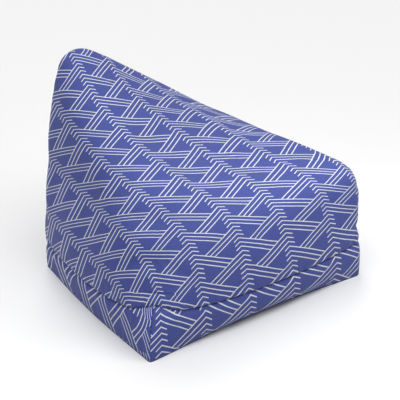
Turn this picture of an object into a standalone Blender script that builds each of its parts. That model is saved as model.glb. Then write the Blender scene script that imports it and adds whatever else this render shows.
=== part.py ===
"""Filled bean bag cover with a corner back: one top panel on a band of four strips and a flat base.

Metres, +Z up. The origin is on the floor under the middle of the bag. X runs along the front edge to
the right, Y from the front edge to the back. The back left corner rises to a point; the other three
corners stay low. Seen from above, the corners run front_left, front_right, back_right, back_left.
"""

import math
from typing import NamedTuple

import bmesh
import bpy
import numpy as np

# Foot of the bag, from corner seam to corner seam
WIDTH = 0.890
DEPTH = 0.700
HALF_WIDTH = WIDTH / 2
HALF_DEPTH = DEPTH / 2
CORNER_FULLNESS = 0.004

# Cloth, and the gap that pieces keep to each other
CLOTH = 0.0025
GAP = 0.0004
BASE_CLOTH = 0.0025

# Crown of the top panel
RIDGE_CROWN = 0.022
SEAT_DIP = 0.050
RISE_POWER_LEFT = 1.05
RISE_POWER_RIGHT = 2.3
TOP_SLOPE_SHARE = 0.9

# Walls: where they stand out furthest, and where they start to lean in
BULGE_TOP = 0.42
BULGE_POWER = 0.8
LEAN_START = 0.20
LEAN_END = 0.78
LEAN_POWER = 1.6
TUCK_HEIGHT = 0.11
TUCK_POWER = 1.5
TUCK_NARROWING = 1.5

# Corner seams are sharp at the floor and soften upwards
SHARP_ROLL = 0.010
SOFT_FROM = 0.02
SOFT_OVER = 0.27

# The band seam, drawn into the cloth on both sides of it
SEAM_SAG = 0.010
SEAM_LIFT = 0.022
SEAM_LIFT_REACH = 0.12
SEAM_GROOVE = 0.006
SEAM_GROOVE_WIDTH = 0.014

# Where the rays that find the surface start
RAY_HEIGHT = 0.21
RAY_REACH = 1.2
RAY_HALVINGS = 30

# Mesh steps
PANEL_STEPS = 44
WALL_SHARE = 12 / 22
CROWDING = 0.75
BAND_ROWS = (0.0, 0.30, 0.58, 0.84, 1.0)
WALL_RISES = (0.0, 0.009, 0.024, 0.050)


class Corner(NamedTuple):
    """What one corner of the bag measures."""

    x_side: int
    y_side: int
    top: float
    roll: float
    seam: float


CORNERS = {
    "front_left": Corner(-1, -1, top=0.455, roll=0.180, seam=0.150),
    "front_right": Corner(1, -1, top=0.455, roll=0.060, seam=0.140),
    "back_right": Corner(1, 1, top=0.366, roll=0.058, seam=0.125),
    "back_left": Corner(-1, 1, top=0.948, roll=0.130, seam=0.106),
}


class Side(NamedTuple):
    """One wall: the corners it runs between, counterclockwise, and how far its middle bulges,
    is tucked under at the foot and leans in at the top, with its roll at each end."""

    start: str
    end: str
    bulge: float
    tuck: float
    lean: float
    start_roll: float
    end_roll: float


SIDES = {
    "front": Side("front_left", "front_right", 0.040, 0.029, 0.000, 0.170, 0.115),
    "right": Side("front_right", "back_right", 0.004, -0.010, 0.025, 0.075, 0.075),
    "back": Side("back_right", "back_left", 0.030, 0.010, 0.020, 0.080, 0.050),
    "left": Side("back_left", "front_left", 0.032, -0.012, 0.078, 0.130, 0.220),
}


class Fold(NamedTuple):
    """A soft crease across the front left corner: its height at the corner, how far it drops to
    either side, and its depth, half width and half length."""

    height: float
    drop: float
    depth: float
    width: float
    reach: float


FOLDS = (
    Fold(height=0.322, drop=0.075, depth=0.007, width=0.026, reach=0.15),
    Fold(height=0.240, drop=0.020, depth=0.005, width=0.018, reach=0.08),
)

CLOTH_BLUE = (0.085, 0.100, 0.345, 1.0)
CLOTH_ROUGHNESS = 0.9


def smooth_step(t):
    """0 below 0, 1 above 1, and an easy curve between."""
    t = np.clip(t, 0.0, 1.0)
    return t * t * (3.0 - 2.0 * t)


def shares(x, y):
    """How far a place is from the left side to the right, and from the front to the back."""
    across = np.clip((x + HALF_WIDTH) / WIDTH, 0.0, 1.0)
    along = np.clip((y + HALF_DEPTH) / DEPTH, 0.0, 1.0)
    return across, along


def between_corners(x, y, column):
    """A corner measure, spread over the plan."""
    across, along = shares(x, y)
    value = {name: getattr(corner, column) for name, corner in CORNERS.items()}
    front = value["front_left"] + (value["front_right"] - value["front_left"]) * across
    back = value["back_left"] + (value["back_right"] - value["back_left"]) * across
    return front + (back - front) * along


def top_height(x, y):
    """Height of the unrolled top: low in front, rising to the back left corner, dipped at the seat."""
    across, along = shares(x, y)
    top = {name: corner.top for name, corner in CORNERS.items()}
    front = top["front_left"] + (top["front_right"] - top["front_left"]) * across
    ridge = top["back_left"] + (top["back_right"] - top["back_left"]) * across
    ridge = ridge + RIDGE_CROWN * 4 * across * (1 - across)
    power = RISE_POWER_LEFT + (RISE_POWER_RIGHT - RISE_POWER_LEFT) * across
    dip = SEAT_DIP * np.sin(math.pi * across) * np.sin(math.pi * along**0.8)
    return front + (ridge - front) * along**power - dip


def groove(x, y, z):
    """How far the seam draws the cloth in."""
    away = (z - seam_height(x, y)) / SEAM_GROOVE_WIDTH
    return SEAM_GROOVE * np.exp(-(away**2))


def fold_depth(x, y, z):
    """How far the folds over the front left corner draw the cloth in."""
    corner = CORNERS["front_left"]
    aside = np.hypot(x - corner.x_side * HALF_WIDTH, y - corner.y_side * HALF_DEPTH)
    total = np.zeros_like(z)
    for fold in FOLDS:
        line = fold.height - fold.drop * (aside / fold.reach) ** 2
        total = total + fold.depth * np.exp(-(((z - line) / fold.width) ** 2) - (aside / fold.reach) ** 4)
    return total


def wall_reach(name, x, y, z):
    """How far the wall of a side stands from the middle of the bag."""
    side = SIDES[name]
    lengthwise = name in ("front", "back")
    middle = np.clip(1 - ((x / HALF_WIDTH) if lengthwise else (y / HALF_DEPTH)) ** 2, 0.0, 1.0)
    bulge = side.bulge * np.sin(math.pi * np.clip(z / BULGE_TOP, 0.0, 1.0) ** BULGE_POWER)
    tuck = side.tuck * np.clip(1 - z / TUCK_HEIGHT, 0.0, 1.0) ** TUCK_POWER
    lean_end = CORNERS["back_right"].top if name == "right" else LEAN_END
    lean = side.lean * np.clip((z - LEAN_START) / (lean_end - LEAN_START), 0.0, 2.0) ** LEAN_POWER
    flat = HALF_DEPTH if lengthwise else HALF_WIDTH
    return flat + CORNER_FULLNESS + middle * bulge - middle**TUCK_NARROWING * tuck - lean


def wall_roll(name, x, y, z):
    """How far the rolled edges of a side reach in from it."""
    side = SIDES[name]
    across, along = shares(x, y)
    travelled = {"front": across, "right": along, "back": 1 - across, "left": 1 - along}[name]
    soft = side.start_roll + (side.end_roll - side.start_roll) * travelled
    return SHARP_ROLL + (soft - SHARP_ROLL) * smooth_step((z - SOFT_FROM) / SOFT_OVER)


def outside(x, y, z):
    """Below 0 inside the bag, 0 on its surface: four walls and a top, with rolled edges."""
    drawn_in = groove(x, y, z) + fold_depth(x, y, z)
    facing = {"front": -y, "right": x, "back": y, "left": -x}
    total = np.zeros_like(z)
    for name in SIDES:
        away = facing[name] - wall_reach(name, x, y, z) + drawn_in
        total = total + np.clip(1 + away / wall_roll(name, x, y, z), 0.0, None) ** 2
    above = (z - top_height(x, y)) * TOP_SLOPE_SHARE
    total = total + np.clip(1 + above / between_corners(x, y, "roll"), 0.0, None) ** 2
    return np.sqrt(total) - 1


def surface_points(starts, directions):
    """Where rays from inside the bag leave it."""
    near = np.zeros(len(starts))
    far = np.full(len(starts), RAY_REACH)
    for _ in range(RAY_HALVINGS):
        half = (near + far) / 2
        spots = starts + directions * half[:, None]
        inside = outside(spots[:, 0], spots[:, 1], spots[:, 2]) < 0
        near = np.where(inside, half, near)
        far = np.where(inside, far, half)
    return starts + directions * ((near + far) / 2)[:, None]


def seam_height(x, y):
    """Height of the band seam beside a place: it sags between the corners and is lifted at the
    front left one."""
    corner = CORNERS["front_left"]
    scale = np.maximum(np.maximum(np.abs(x) / HALF_WIDTH, np.abs(y) / HALF_DEPTH), 1e-6)
    across, along = shares(x / scale, y / scale)
    middle = 4 * across * (1 - across) + 4 * along * (1 - along)
    aside = np.hypot(x / scale - corner.x_side * HALF_WIDTH, y / scale - corner.y_side * HALF_DEPTH)
    lift = SEAM_LIFT * np.exp(-((aside / SEAM_LIFT_REACH) ** 2))
    return between_corners(x / scale, y / scale, "seam") - SEAM_SAG * middle + lift


def on_wall(around, z):
    """Points of the walls at the given heights, beside points of the unit square's edge."""
    starts = np.zeros((len(around), 3))
    starts[:, 2] = z
    directions = np.zeros((len(around), 3))
    directions[:, 0] = around[:, 0] * HALF_WIDTH
    directions[:, 1] = around[:, 1] * HALF_DEPTH
    directions /= np.linalg.norm(directions, axis=1)[:, None]
    return surface_points(starts, directions)


def profile_points(around, ring):
    """Rough places of the panel's rings: 1 starts up the wall, the next ones climb it to the edge,
    and the last ones cross the top to its middle at 0."""
    climb = np.clip((1 - ring) / WALL_SHARE, 0.0, 1.0)
    spread = np.clip(ring / (1 - WALL_SHARE), 0.0, 1.0)
    foot = around * (HALF_WIDTH, HALF_DEPTH)
    plan = foot * spread[:, None]
    edge = top_height(foot[:, 0], foot[:, 1])
    wall = RAY_HEIGHT + (edge - RAY_HEIGHT) * climb
    height = np.where(climb < 1, wall, top_height(plan[:, 0], plan[:, 1]))
    return np.column_stack((plan, height))


def inset(points, by):
    """The same points, moved in from the walls."""
    moved = points.copy()
    moved[:, 0] *= 1 - by / HALF_WIDTH
    moved[:, 1] *= 1 - by / HALF_DEPTH
    return moved


def seam_beside(around):
    """Seam heights beside points of the unit square's edge."""
    return seam_height(around[:, 0] * HALF_WIDTH, around[:, 1] * HALF_DEPTH)


def crowded(places):
    """The same places from -1 to 1, moved closer together towards both ends."""
    return places + (np.sin(places * math.pi / 2) - places) * CROWDING


def around_of(verts, layer):
    """The plan place that each vertex keeps, as rows of x and y on the unit square."""
    return np.array([(vert[layer].x, vert[layer].y) for vert in verts])


def place(verts, points):
    """Move vertices to rows of coordinates."""
    for vert, point in zip(verts, points, strict=True):
        vert.co = point


def grow_ring(mesh, edges):
    """Extrude a ring of edges and give back the new edges and vertices."""
    made = bmesh.ops.extrude_edge_only(mesh, edges=edges)["geom"]
    verts = [item for item in made if isinstance(item, bmesh.types.BMVert)]
    fresh = set(verts)
    ring = [item for item in made if isinstance(item, bmesh.types.BMEdge) and set(item.verts) <= fresh]
    return ring, verts


def dress(mesh, name):
    """Close a bmesh into a named object with its own cloth material, shaded smooth."""
    bmesh.ops.recalc_face_normals(mesh, faces=mesh.faces)
    bmesh.ops.triangulate(mesh, faces=mesh.faces, quad_method="BEAUTY", ngon_method="BEAUTY")
    data = bpy.data.meshes.new(name)
    mesh.to_mesh(data)
    mesh.free()
    data.shade_smooth()
    data.set_sharp_from_angle(angle=math.radians(50))
    material = bpy.data.materials.new(name + "_cloth")
    material.use_nodes = True
    shader = material.node_tree.nodes["Principled BSDF"]
    shader.inputs["Base Color"].default_value = CLOTH_BLUE
    shader.inputs["Roughness"].default_value = CLOTH_ROUGHNESS
    shader.inputs["Metallic"].default_value = 0.0
    data.materials.append(material)
    thing = bpy.data.objects.new(name, data)
    bpy.context.scene.collection.objects.link(thing)
    return thing


def build_top_panel():
    """The top panel over its filling: a grid blown up to the crown, run down the walls to the seam,
    then stepped in behind the bands and closed under them."""
    mesh = bmesh.new()
    layer = mesh.verts.layers.float_vector.new("around")
    bmesh.ops.create_grid(mesh, x_segments=PANEL_STEPS, y_segments=PANEL_STEPS, size=1.0)
    verts = list(mesh.verts)
    flat = np.array([vert.co[:2] for vert in verts])
    ring = np.abs(flat).max(axis=1)
    around = crowded(flat / np.maximum(ring, 1e-9)[:, None])
    for vert, spot in zip(verts, around, strict=True):
        vert[layer] = (spot[0], spot[1], 0.0)
    aims = profile_points(around, ring) - (0.0, 0.0, RAY_HEIGHT)
    aims /= np.linalg.norm(aims, axis=1)[:, None]
    starts = np.tile((0.0, 0.0, RAY_HEIGHT), (len(aims), 1))
    place(verts, surface_points(starts, aims))
    on_corner = np.abs(flat[:, 0]) - np.abs(flat[:, 1])
    bmesh.ops.connect_verts(mesh, verts=[vert for vert, off in zip(verts, on_corner) if abs(off) < 1e-6])

    edges = [edge for edge in mesh.edges if edge.is_boundary]
    for rise in reversed(WALL_RISES):
        edges, verts = grow_ring(mesh, edges)
        around = around_of(verts, layer)
        place(verts, on_wall(around, seam_beside(around) + GAP + rise))
    tucked = CLOTH + 2 * GAP
    edges, verts = grow_ring(mesh, edges)
    around = around_of(verts, layer)
    place(verts, inset(on_wall(around, seam_beside(around) + GAP), tucked))
    floor = BASE_CLOTH + GAP
    for share in reversed(BAND_ROWS[:-1]):
        edges, verts = grow_ring(mesh, edges)
        around = around_of(verts, layer)
        height = floor + (seam_beside(around) - floor) * share
        place(verts, inset(on_wall(around, height), tucked))
    bmesh.ops.edgeloop_fill(mesh, edges=edges)
    return dress(mesh, "top_panel")


def build_band(name):
    """One strip of the band, from its mitred corner seam at one end to the one at the other."""
    side = SIDES[name]
    start, end = CORNERS[side.start], CORNERS[side.end]
    seam_gap = 2 * GAP / DEPTH
    mesh = bmesh.new()
    layer = mesh.verts.layers.float_vector.new("around")
    bmesh.ops.create_grid(mesh, x_segments=PANEL_STEPS, y_segments=len(BAND_ROWS) - 1, size=0.5)
    verts = list(mesh.verts)
    along = (crowded(np.array([vert.co.x for vert in verts]) * 2) + 1) / 2
    rows = np.round((np.array([vert.co.y for vert in verts]) + 0.5) * (len(BAND_ROWS) - 1)).astype(int)
    along = seam_gap + along * (1 - 2 * seam_gap)
    around = np.stack(
        (
            start.x_side + (end.x_side - start.x_side) * along,
            start.y_side + (end.y_side - start.y_side) * along,
        ),
        axis=1,
    )
    for vert, spot, row in zip(verts, around, rows, strict=True):
        vert[layer] = (spot[0], spot[1], BAND_ROWS[row])
    floor = BASE_CLOTH + GAP

    def heights(spots, row_shares):
        return floor + (seam_beside(spots) - floor) * row_shares

    place(verts, on_wall(around, heights(around, np.array(BAND_ROWS)[rows])))
    made = bmesh.ops.extrude_face_region(mesh, geom=list(mesh.faces))["geom"]
    inner = [item for item in made if isinstance(item, bmesh.types.BMVert)]
    around = around_of(inner, layer)
    row_shares = np.array([vert[layer].z for vert in inner])
    place(inner, inset(on_wall(around, heights(around, row_shares)), CLOTH))
    return dress(mesh, "band_" + name)


def build_base_panel():
    """The flat base, cut to the foot of the bands."""
    mesh = bmesh.new()
    steps = PANEL_STEPS
    ticks = crowded(np.arange(steps) / steps * 2 - 1)
    edge = np.ones(steps)
    around = np.concatenate(
        (
            np.stack((ticks, -edge), axis=1),
            np.stack((edge, ticks), axis=1),
            np.stack((-ticks, edge), axis=1),
            np.stack((-edge, -ticks), axis=1),
        )
    )
    outline = on_wall(around, np.full(len(around), BASE_CLOTH + GAP))
    outline[:, 2] = 0.0
    face = mesh.faces.new([mesh.verts.new(point) for point in outline])
    made = bmesh.ops.extrude_face_region(mesh, geom=[face])["geom"]
    raised = [item for item in made if isinstance(item, bmesh.types.BMVert)]
    bmesh.ops.translate(mesh, verts=raised, vec=(0.0, 0.0, BASE_CLOTH))
    return dress(mesh, "base_panel")


def main():
    """Clear the scene and build the six pieces."""
    for thing in list(bpy.data.objects):
        bpy.data.objects.remove(thing, do_unlink=True)
    build_top_panel()
    for name in SIDES:
        build_band(name)
    build_base_panel()


main()
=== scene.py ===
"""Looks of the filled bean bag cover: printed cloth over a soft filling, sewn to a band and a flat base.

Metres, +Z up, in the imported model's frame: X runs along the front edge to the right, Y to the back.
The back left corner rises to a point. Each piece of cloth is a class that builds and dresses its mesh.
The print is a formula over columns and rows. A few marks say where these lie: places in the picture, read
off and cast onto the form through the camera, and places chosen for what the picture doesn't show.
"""

import logging
import math
from dataclasses import dataclass
from enum import Enum
from functools import cached_property
from typing import NamedTuple

import bmesh
import bpy
import numpy as np
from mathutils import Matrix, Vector

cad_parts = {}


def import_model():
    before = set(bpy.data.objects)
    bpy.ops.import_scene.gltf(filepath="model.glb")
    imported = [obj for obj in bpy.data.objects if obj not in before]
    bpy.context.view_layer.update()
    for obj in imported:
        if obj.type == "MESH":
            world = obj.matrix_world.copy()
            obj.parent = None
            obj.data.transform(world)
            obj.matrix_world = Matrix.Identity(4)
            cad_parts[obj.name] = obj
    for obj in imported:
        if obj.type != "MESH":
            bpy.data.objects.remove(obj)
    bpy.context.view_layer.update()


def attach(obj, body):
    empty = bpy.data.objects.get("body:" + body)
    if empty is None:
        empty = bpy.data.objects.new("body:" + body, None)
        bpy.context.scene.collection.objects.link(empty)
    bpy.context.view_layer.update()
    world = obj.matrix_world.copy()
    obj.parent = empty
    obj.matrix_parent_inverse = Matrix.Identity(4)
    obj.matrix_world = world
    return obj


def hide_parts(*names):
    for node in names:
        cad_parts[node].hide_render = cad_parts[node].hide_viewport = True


log = logging.getLogger("bean_bag")

BODY = "root"
CLOTH_MAP = "cloth"
PLACE_LAYER = "around"
TINY = 1e-9
EDGE_SLACK = 1e-6
BLEND_POWER = 3
UP = (0.0, 0.0, 1.0)


class CornerName(Enum):
    """The four corners of the bag, seen from above."""

    FRONT_LEFT = "front_left"
    FRONT_RIGHT = "front_right"
    BACK_RIGHT = "back_right"
    BACK_LEFT = "back_left"


class SideName(Enum):
    """The four walls of the bag."""

    FRONT = "front"
    RIGHT = "right"
    BACK = "back"
    LEFT = "left"


class Corner(NamedTuple):
    """What one corner of the bag measures."""

    x_side: int
    y_side: int
    top: float
    roll: float
    seam: float


class Side(NamedTuple):
    """One wall: the corners it runs between, how far its middle bulges, is tucked under at the foot
    and leans in at the top, and its roll at each end."""

    start: CornerName
    end: CornerName
    bulge: float
    tuck: float
    lean: float
    start_roll: float
    end_roll: float


class Fold(NamedTuple):
    """A soft crease across the front left corner: its height at the corner, how far it drops to
    either side, and its depth, half width and half length."""

    height: float
    drop: float
    depth: float
    width: float
    reach: float


class Dent(NamedTuple):
    """A soft hollow in the cloth, or a swelling where its depth is below 0: its place, its depth and
    how far it reaches each way."""

    x: float
    y: float
    z: float
    depth: float
    reach_x: float
    reach_y: float
    reach_z: float


class SeenMark(NamedTuple):
    """A place in the picture, in pixels, and the print's column and row that lie there."""

    column: float
    row: float
    px: float
    py: float


class PanelMark(NamedTuple):
    """A place on the top panel out of sight, and the print's column and row chosen for it."""

    column: float
    row: float
    x: float
    y: float
    z: float


class BandMark(NamedTuple):
    """A place on a hidden strip of the band, in metres from the strip's start and above the floor,
    and the print's column and row chosen for it."""

    column: float
    row: float
    along: float
    height: float


CORNERS = {
    CornerName.FRONT_LEFT: Corner(-1, -1, top=0.455, roll=0.180, seam=0.150),
    CornerName.FRONT_RIGHT: Corner(1, -1, top=0.455, roll=0.060, seam=0.140),
    CornerName.BACK_RIGHT: Corner(1, 1, top=0.354, roll=0.058, seam=0.125),
    CornerName.BACK_LEFT: Corner(-1, 1, top=0.926, roll=0.130, seam=0.106),
}

SIDES = {
    SideName.FRONT: Side(CornerName.FRONT_LEFT, CornerName.FRONT_RIGHT, 0.040, 0.029, 0.000, 0.170, 0.115),
    SideName.RIGHT: Side(CornerName.FRONT_RIGHT, CornerName.BACK_RIGHT, 0.004, -0.010, 0.025, 0.075, 0.075),
    SideName.BACK: Side(CornerName.BACK_RIGHT, CornerName.BACK_LEFT, 0.030, 0.010, 0.020, 0.080, 0.050),
    SideName.LEFT: Side(CornerName.BACK_LEFT, CornerName.FRONT_LEFT, 0.032, -0.012, 0.078, 0.130, 0.220),
}

FOLDS = (
    Fold(height=0.322, drop=0.075, depth=0.007, width=0.026, reach=0.15),
    Fold(height=0.240, drop=0.020, depth=0.005, width=0.018, reach=0.08),
)

DENTS = (
    Dent(x=-0.430, y=-0.020, z=0.440, depth=0.004, reach_x=0.06, reach_y=0.05, reach_z=0.03),
    Dent(x=-0.386, y=-0.248, z=0.414, depth=0.006, reach_x=0.05, reach_y=0.05, reach_z=0.025),
    Dent(x=0.440, y=-0.320, z=0.205, depth=0.009, reach_x=0.08, reach_y=0.12, reach_z=0.045),
    Dent(x=0.430, y=-0.300, z=0.325, depth=-0.007, reach_x=0.07, reach_y=0.12, reach_z=0.045),
    Dent(x=-0.420, y=0.270, z=0.740, depth=0.010, reach_x=0.06, reach_y=0.10, reach_z=0.050),
)

PANEL_SEEN = (
    SeenMark(-2, -12, 59.5, 224),
    SeenMark(-2, 0, 91.8, 257),
    SeenMark(-2, 12, 121.5, 292.5),
    SeenMark(-1, -27, 53, 160.7),
    SeenMark(-1, -12, 90, 201.4),
    SeenMark(-1, 0, 123.2, 233.6),
    SeenMark(-1, 9, 146, 262.1),
    SeenMark(-1, 18, 161.2, 299.5),
    SeenMark(0, -39, 56, 103),
    SeenMark(0, -24, 90, 148.2),
    SeenMark(0, -12, 125, 183.2),
    SeenMark(0, 0, 165.1, 215.3),
    SeenMark(0, 9, 188.8, 244.6),
    SeenMark(0, 21, 202.9, 296.8),
    SeenMark(1, -48, 73.3, 54),
    SeenMark(1, -36, 95.4, 96.4),
    SeenMark(1, -24, 127.5, 136.8),
    SeenMark(1, -12, 165.5, 169),
    SeenMark(1, 0, 207.2, 199.4),
    SeenMark(1, 9, 233.3, 227.4),
    SeenMark(1, 21, 247.3, 278.3),
    SeenMark(2, -45, 107.5, 58.4),
    SeenMark(2, -24, 165, 122.1),
    SeenMark(2, -12, 205.7, 154.3),
    SeenMark(2, 0, 249.7, 183.2),
    SeenMark(2, 9, 275.1, 209.9),
    SeenMark(2, 21, 291.5, 260.1),
    SeenMark(3, -36, 158.2, 88.6),
    SeenMark(3, -24, 200.4, 115),
    SeenMark(3, -12, 245.3, 142.4),
    SeenMark(3, 0, 292.2, 168.7),
    SeenMark(3, 9, 319.4, 192.4),
    SeenMark(3, 21, 332.8, 241.7),
    SeenMark(4, 3, 340, 164.8),
    SeenMark(4, 9, 354, 181),
    SeenMark(3.79, 16.1, 356.5, 205.5),
    SeenMark(3.40, 20.1, 349, 230),
)

PANEL_HIDDEN = (
    PanelMark(4, -12, x=0.365, y=0.020, z=0.440),
    PanelMark(4, -24, x=0.332, y=0.195, z=0.448),
)

BAND_SEEN = {
    SideName.FRONT: (
        SeenMark(0, 1, 160.5, 313.6),
        SeenMark(0, 4, 161.5, 333.2),
        SeenMark(0, 7, 161.8, 351.5),
        SeenMark(1, 3, 205.6, 310.6),
        SeenMark(1, 6, 206.6, 329.4),
        SeenMark(2, 3, 250.7, 294.7),
        SeenMark(2, 6, 250.7, 312.1),
        SeenMark(3, 3, 293.6, 276.4),
        SeenMark(3, 6, 294.5, 293.2),
        SeenMark(4, 3, 335.3, 256.8),
        SeenMark(4, 6, 336.1, 273.6),
    ),
    SideName.LEFT: (
        SeenMark(0.36, 25.9, 55.5, 253),
        SeenMark(0.79, 22.1, 69.5, 286),
        SeenMark(0.60, 17.1, 86.5, 293.5),
        SeenMark(0.79, 16.1, 90.5, 307),
        SeenMark(0.40, 14.1, 98, 298),
        SeenMark(0.60, 11.1, 108.3, 314.4),
        SeenMark(0.79, 10.1, 112.8, 326.7),
        SeenMark(0.21, 7.1, 123.5, 310.2),
        SeenMark(0.40, 8.1, 120, 315.5),
        SeenMark(0.60, 5.1, 131.6, 332.8),
        SeenMark(0.79, 4.1, 135.5, 344.4),
        SeenMark(0, 2, 142.6, 313.2),
        SeenMark(0, 0, 148, 320),
        SeenMark(0.21, 1.1, 145.5, 328.5),
        SeenMark(0.57, -0.7, 151, 343),
    ),
}

BAND_HIDDEN = {
    SideName.RIGHT: (
        BandMark(0, 2, along=0.05, height=0.13),
        BandMark(0, 7, along=0.05, height=0.02),
        BandMark(3, 2, along=0.58, height=0.13),
        BandMark(3, 7, along=0.58, height=0.02),
    ),
    SideName.BACK: (
        BandMark(0, 4, along=0.08, height=0.12),
        BandMark(0, 8, along=0.08, height=0.03),
        BandMark(4, 4, along=0.79, height=0.12),
        BandMark(4, 8, along=0.79, height=0.03),
    ),
}


def smooth_step(share: np.ndarray) -> np.ndarray:
    """0 below 0, 1 above 1, and an easy curve between."""
    share = np.clip(share, 0.0, 1.0)
    return share * share * (3.0 - 2.0 * share)


def bell(offset: np.ndarray) -> np.ndarray:
    """1 at an offset of 0, falling softly to 0 on both sides."""
    return np.exp(-(offset**2))


@dataclass(frozen=True)
class BagForm:
    """The form of the filled bag: four walls and a top with rolled edges, as one field over space."""

    width: float = 0.890
    depth: float = 0.700
    corner_fullness: float = 0.004
    ridge_crown: float = 0.040
    ridge_wave: float = 0.010
    seat_dip: float = 0.050
    seat_dip_power: float = 0.8
    rise_left: float = 1.05
    rise_right: float = 2.3
    top_slope_share: float = 0.9
    bulge_top: float = 0.42
    bulge_power: float = 0.8
    lean_start: float = 0.20
    lean_end: float = 0.78
    lean_power: float = 1.6
    lean_limit: float = 2.0
    tuck_height: float = 0.11
    tuck_in_height: float = 0.055
    tuck_power: float = 1.5
    tuck_narrowing: float = 1.5
    sharp_roll: float = 0.010
    softer_front_right: float = 0.022
    softer_power: int = 4
    soft_from: float = 0.02
    soft_over: float = 0.27
    seam_sag: float = 0.010
    seam_lift: float = 0.022
    seam_lift_reach: float = 0.12
    groove_depth: float = 0.006
    groove_width: float = 0.014
    ray_height: float = 0.21
    ray_reach: float = 1.2
    ray_halvings: int = 26

    @property
    def half(self) -> tuple[float, float]:
        """Half the foot's width and depth."""
        return self.width / 2, self.depth / 2

    def shares(self, x: np.ndarray, y: np.ndarray) -> tuple[np.ndarray, np.ndarray]:
        """How far places are from the left side to the right, and from the front to the back."""
        return np.clip(x / self.width + 0.5, 0.0, 1.0), np.clip(y / self.depth + 0.5, 0.0, 1.0)

    def on_edges(self, across: np.ndarray, column: str) -> tuple[np.ndarray, np.ndarray]:
        """A corner measure along the front edge and along the back edge.

        Args:
            across: shares of the width.
            column: the measure's name in the corner table.
        Returns:
            The measure on the front edge and on the back edge.
        """
        value = {name: getattr(corner, column) for name, corner in CORNERS.items()}
        front = value[CornerName.FRONT_LEFT] * (1 - across) + value[CornerName.FRONT_RIGHT] * across
        back = value[CornerName.BACK_LEFT] * (1 - across) + value[CornerName.BACK_RIGHT] * across
        return front, back

    def between_corners(self, x: np.ndarray, y: np.ndarray, column: str) -> np.ndarray:
        """A corner measure, spread over the plan.

        Args:
            x, y: the places.
            column: the measure's name in the corner table.
        Returns:
            The measure at each place.
        """
        across, along = self.shares(x, y)
        front, back = self.on_edges(across, column)
        return front * (1 - along) + back * along

    def from_front_left(self, x: np.ndarray, y: np.ndarray) -> np.ndarray:
        """Metres on the plan from the foot's front left corner."""
        corner = CORNERS[CornerName.FRONT_LEFT]
        return np.hypot(x - corner.x_side * self.half[0], y - corner.y_side * self.half[1])

    def top_height(self, x: np.ndarray, y: np.ndarray) -> np.ndarray:
        """Height of the unrolled top: low in front, rising to the back left corner, dipped at the seat.

        Args:
            x, y: the places.
        Returns:
            The height at each place.
        """
        across, along = self.shares(x, y)
        front, ridge = self.on_edges(across, "top")
        ridge = ridge + self.ridge_crown * 4 * across * (1 - across)
        ridge = ridge + self.ridge_wave * np.sin(2 * math.pi * across)
        power = self.rise_left + (self.rise_right - self.rise_left) * across
        dip = self.seat_dip * np.sin(math.pi * across) * np.sin(math.pi * along**self.seat_dip_power)
        return front + (ridge - front) * along**power - dip

    def seam_height(self, x: np.ndarray, y: np.ndarray) -> np.ndarray:
        """Height of the band seam beside places: it sags between the corners and is lifted at the
        front left one.

        Args:
            x, y: the places.
        Returns:
            The seam's height beside each place.
        """
        wide, deep = self.half
        scale = np.maximum(np.maximum(np.abs(x) / wide, np.abs(y) / deep), EDGE_SLACK)
        x, y = x / scale, y / scale
        across, along = self.shares(x, y)
        middle = 4 * across * (1 - across) + 4 * along * (1 - along)
        lift = self.seam_lift * bell(self.from_front_left(x, y) / self.seam_lift_reach)
        return self.between_corners(x, y, "seam") - self.seam_sag * middle + lift

    def drawn_in(self, x: np.ndarray, y: np.ndarray, z: np.ndarray) -> np.ndarray:
        """How far the seam and the folds over the front left corner draw the cloth in.

        Args:
            x, y, z: the places.
        Returns:
            Metres drawn in at each place.
        """
        total = self.groove_depth * bell((z - self.seam_height(x, y)) / self.groove_width)
        aside = self.from_front_left(x, y)
        for fold in FOLDS:
            line = fold.height - fold.drop * (aside / fold.reach) ** 2
            ends = np.exp(-((aside / fold.reach) ** 4))
            total = total + fold.depth * bell((z - line) / fold.width) * ends
        return total

    def wall_reach(self, name: SideName, x: np.ndarray, y: np.ndarray, z: np.ndarray) -> np.ndarray:
        """How far the wall of a side stands from the middle of the bag.

        Args:
            name: the side.
            x, y, z: the places.
        Returns:
            Metres from the middle beside each place.
        """
        side = SIDES[name]
        wide, deep = self.half
        lengthwise = name in (SideName.FRONT, SideName.BACK)
        middle = np.clip(1 - ((x / wide) if lengthwise else (y / deep)) ** 2, 0.0, 1.0)
        bulge = side.bulge * np.sin(math.pi * np.clip(z / self.bulge_top, 0.0, 1.0) ** self.bulge_power)
        tuck_height = self.tuck_height if side.tuck < 0 else self.tuck_in_height
        tuck = side.tuck * np.clip(1 - z / tuck_height, 0.0, 1.0) ** self.tuck_power
        lean_end = CORNERS[CornerName.BACK_RIGHT].top if name is SideName.RIGHT else self.lean_end
        lean_share = (z - self.lean_start) / (lean_end - self.lean_start)
        lean = side.lean * np.clip(lean_share, 0.0, self.lean_limit) ** self.lean_power
        flat = deep if lengthwise else wide
        return flat + self.corner_fullness + middle * bulge - middle**self.tuck_narrowing * tuck - lean

    def wall_roll(self, name: SideName, x: np.ndarray, y: np.ndarray, z: np.ndarray) -> np.ndarray:
        """How far the rolled edges of a side reach in from it.

        Args:
            name: the side.
            x, y, z: the places.
        Returns:
            Metres of roll beside each place.
        """
        side = SIDES[name]
        across, along = self.shares(x, y)
        travelled = {
            SideName.FRONT: across,
            SideName.RIGHT: along,
            SideName.BACK: 1 - across,
            SideName.LEFT: 1 - along,
        }[name]
        soft = side.start_roll + (side.end_roll - side.start_roll) * travelled
        foot = self.sharp_roll + self.softer_front_right * (across * (1 - along)) ** self.softer_power
        return foot + (soft - foot) * smooth_step((z - self.soft_from) / self.soft_over)

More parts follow.
